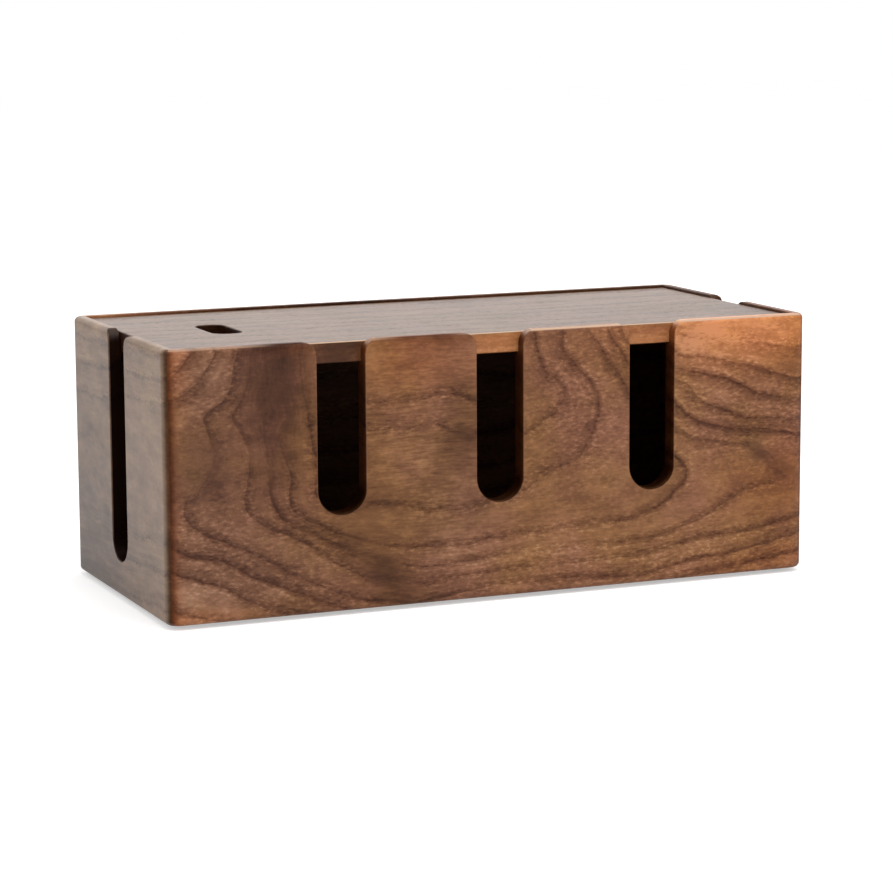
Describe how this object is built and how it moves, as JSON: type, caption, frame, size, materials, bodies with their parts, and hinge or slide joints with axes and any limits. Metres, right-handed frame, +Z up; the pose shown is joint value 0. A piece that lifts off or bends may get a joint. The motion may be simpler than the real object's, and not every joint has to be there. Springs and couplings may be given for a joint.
{
  "type": "power strip organizer box",
  "caption": "Rectangular wooden box with a recessed lift-off lid, a finger hole and open-topped cable slots in the front and both ends; hides a power strip.",
  "frame": {"origin": "on the ground plane under the middle of the box, level with the undersides of the feet", "axes": "+X along the length towards the right end, +Y from the slotted front to the plain back, +Z up"},
  "size_m": [0.4, 0.18, 0.1563],
  "materials": {
    "walnut": "satin oiled walnut",
    "walnut_dark": "satin oiled walnut",
    "plywood": "bare plywood",
    "beech": "bare beech",
    "rubber": "matte"
  },
  "bodies": {
    "box": {"front_panel": "walnut", "back_panel": "walnut", "left_end_panel": "walnut_dark", "right_end_panel": "walnut_dark", "base_panel": "plywood", "front_left_spline": "beech", "front_left_foot": "rubber", "front_right_spline": "beech", "front_right_foot": "rubber", "back_left_spline": "beech", "back_left_foot": "rubber", "back_right_spline": "beech", "back_right_foot": "rubber"},
    "lid": {"lid": "walnut"}
  },
  "joints": [
    {"name": "lid_lift", "type": "slide", "parent": "box", "child": "lid", "axis": [0, 0, 1], "range_m": [0, 0.1]}
  ]
}
